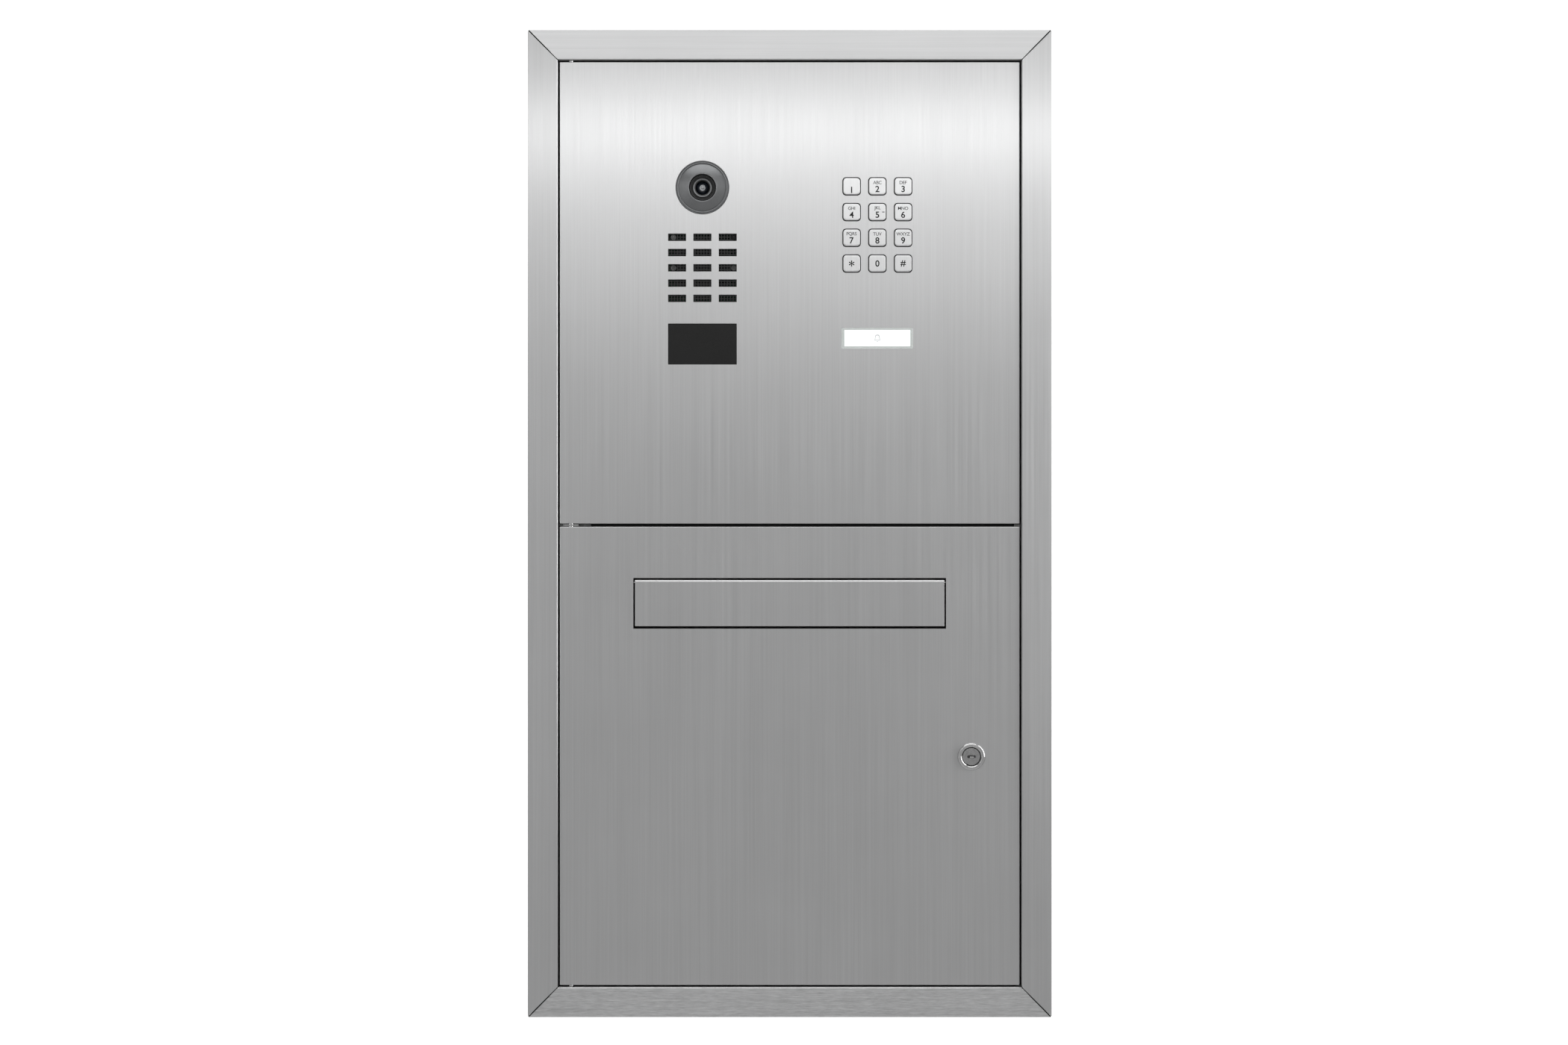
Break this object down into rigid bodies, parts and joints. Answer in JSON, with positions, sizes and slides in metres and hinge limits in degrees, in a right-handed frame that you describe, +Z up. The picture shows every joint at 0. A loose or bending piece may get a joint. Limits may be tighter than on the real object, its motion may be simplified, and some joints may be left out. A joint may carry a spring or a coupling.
{
  "type": "door intercom panel",
  "caption": "Flush wall-mounted stainless steel door station with camera, keypad and call button above a mailbox door with a letter flap and cam lock.",
  "frame": {"origin": "centre of the wall opening, in the plane of the wall's face", "axes": "+X right as seen from the street, +Z up, -Y out of the wall towards the street"},
  "size_m": [0.407, 0.1132, 0.767],
  "materials": {
    "brushed_steel_vertical": "brushed, vertical grain",
    "brushed_steel_horizontal": "brushed, horizontal grain",
    "sheet_steel": "mill",
    "zinc_plate": "zinc plated",
    "steel_pin": "polished",
    "lock_chrome": "polished",
    "key_metal": "satin",
    "bezel_grey": "satin",
    "black_plastic": "fine matt texture",
    "black_gloss": "gloss",
    "microphone_grey": "matt",
    "dark_mesh": "matt black",
    "lens_glass": "polished",
    "led_lens": "diffusing",
    "circuit_board": "solder mask",
    "silicone_rubber": "matt",
    "clear_plastic": "clear",
    "lit_label": "backlit white"
  },
  "bodies": {
    "wall_unit": {"wall_box_back": "sheet_steel", "wall_box_left": "sheet_steel", "wall_box_right": "sheet_steel", "wall_box_top": "sheet_steel", "wall_box_bottom": "sheet_steel", "divider_shelf": "sheet_steel", "trim_top": "brushed_steel_horizontal", "trim_bottom": "brushed_steel_horizontal", "trim_left": "brushed_steel_vertical", "trim_right": "brushed_steel_vertical", "hinge_pin_top": "steel_pin", "hinge_pin_middle": "steel_pin", "hinge_pin_bottom": "steel_pin", "cable_gland": "black_plastic", "gland_nut": "black_plastic", "lock_strike": "zinc_plate"},
    "bolt": {"panel_bolt": "steel_pin"},
    "intercom_door": {"intercom_front_panel": "brushed_steel_vertical", "camera_bezel": "bezel_grey", "camera_lens_barrel": "black_plastic", "camera_lens": "lens_glass", "camera_board": "circuit_board", "speaker_mesh": "dark_mesh", "loudspeaker": "black_plastic", "status_led": "led_lens", "light_sensor": "black_gloss", "microphone_left": "microphone_grey", "microphone_right": "microphone_grey", "rfid_window": "black_gloss", "rfid_board": "circuit_board", "module_housing": "black_plastic", "main_board": "circuit_board", "keypad_frame": "black_plastic", "keypad_mat": "silicone_rubber", "keypad_board": "circuit_board", "button_housing": "black_plastic", "button_light_board": "circuit_board"},
    "key_1": {"key_1": "key_metal"},
    "key_2": {"key_2": "key_metal"},
    "key_3": {"key_3": "key_metal"},
    "key_4": {"key_4": "key_metal"},
    "key_5": {"key_5": "key_metal"},
    "key_6": {"key_6": "key_metal"},
    "key_7": {"key_7": "key_metal"},
    "key_8": {"key_8": "key_metal"},
    "key_9": {"key_9": "key_metal"},
    "key_star": {"key_star": "key_metal"},
    "key_0": {"key_0": "key_metal"},
    "key_hash": {"key_hash": "key_metal"},
    "call_button": {"call_button_cap": "clear_plastic", "call_button_label": "lit_label"},
    "mailbox_door": {"mailbox_door_panel": "brushed_steel_vertical", "letter_chute": "sheet_steel", "flap_rod": "steel_pin", "flap_spring": "steel_pin", "lock_body": "lock_chrome", "lock_nut": "zinc_plate"},
    "flap": {"letter_flap": "brushed_steel_vertical"},
    "lock": {"lock_plug": "lock_chrome", "lock_cam": "zinc_plate"}
  },
  "joints": [
    {"name": "intercom_door_hinge", "type": "hinge", "parent": "wall_unit", "child": "intercom_door", "pos_m": [-0.17, 0.002, 0.179], "axis": [0, 0, -1], "range_deg": [0, 105]},
    {"name": "mailbox_door_hinge", "type": "hinge", "parent": "wall_unit", "child": "mailbox_door", "pos_m": [-0.17, 0.002, -0.18], "axis": [0, 0, -1], "range_deg": [0, 105]},
    {"name": "panel_bolt_slide", "type": "slide", "parent": "wall_unit", "child": "bolt", "axis": [0, 0, 1], "range_m": [0, 0.006]},
    {"name": "letter_flap_hinge", "type": "hinge", "parent": "mailbox_door", "child": "flap", "pos_m": [0, 0.005, -0.0456], "axis": [1, 0, 0], "range_deg": [0, 70], "stiffness_Nm_per_rad": 0.05, "springref_deg": -22.92},
    {"name": "lock_turn", "type": "hinge", "parent": "mailbox_door", "child": "lock", "pos_m": [0.1411, 0, -0.181], "axis": [0, -1, 0], "range_deg": [0, 90]},
    {"name": "call_button_press", "type": "slide", "parent": "intercom_door", "child": "call_button", "axis": [0, 1, 0], "range_m": [0, 0.0012], "stiffness_N_per_m": 2000},
    {"name": "key_1_press", "type": "slide", "parent": "intercom_door", "child": "key_1", "axis": [0, 1, 0], "range_m": [0, 0.0008], "stiffness_N_per_m": 2500},
    {"name": "key_2_press", "type": "slide", "parent": "intercom_door", "child": "key_2", "axis": [0, 1, 0], "range_m": [0, 0.0008], "stiffness_N_per_m": 2500},
    {"name": "key_3_press", "type": "slide", "parent": "intercom_door", "child": "key_3", "axis": [0, 1, 0], "range_m": [0, 0.0008], "stiffness_N_per_m": 2500},
    {"name": "key_4_press", "type": "slide", "parent": "intercom_door", "child": "key_4", "axis": [0, 1, 0], "range_m": [0, 0.0008], "stiffness_N_per_m": 2500},
    {"name": "key_5_press", "type": "slide", "parent": "intercom_door", "child": "key_5", "axis": [0, 1, 0], "range_m": [0, 0.0008], "stiffness_N_per_m": 2500},
    {"name": "key_6_press", "type": "slide", "parent": "intercom_door", "child": "key_6", "axis": [0, 1, 0], "range_m": [0, 0.0008], "stiffness_N_per_m": 2500},
    {"name": "key_7_press", "type": "slide", "parent": "intercom_door", "child": "key_7", "axis": [0, 1, 0], "range_m": [0, 0.0008], "stiffness_N_per_m": 2500},
    {"name": "key_8_press", "type": "slide", "parent": "intercom_door", "child": "key_8", "axis": [0, 1, 0], "range_m": [0, 0.0008], "stiffness_N_per_m": 2500},
    {"name": "key_9_press", "type": "slide", "parent": "intercom_door", "child": "key_9", "axis": [0, 1, 0], "range_m": [0, 0.0008], "stiffness_N_per_m": 2500},
    {"name": "key_star_press", "type": "slide", "parent": "intercom_door", "child": "key_star", "axis": [0, 1, 0], "range_m": [0, 0.0008], "stiffness_N_per_m": 2500},
    {"name": "key_0_press", "type": "slide", "parent": "intercom_door", "child": "key_0", "axis": [0, 1, 0], "range_m": [0, 0.0008], "stiffness_N_per_m": 2500},
    {"name": "key_hash_press", "type": "slide", "parent": "intercom_door", "child": "key_hash", "axis": [0, 1, 0], "range_m": [0, 0.0008], "stiffness_N_per_m": 2500}
  ]
}
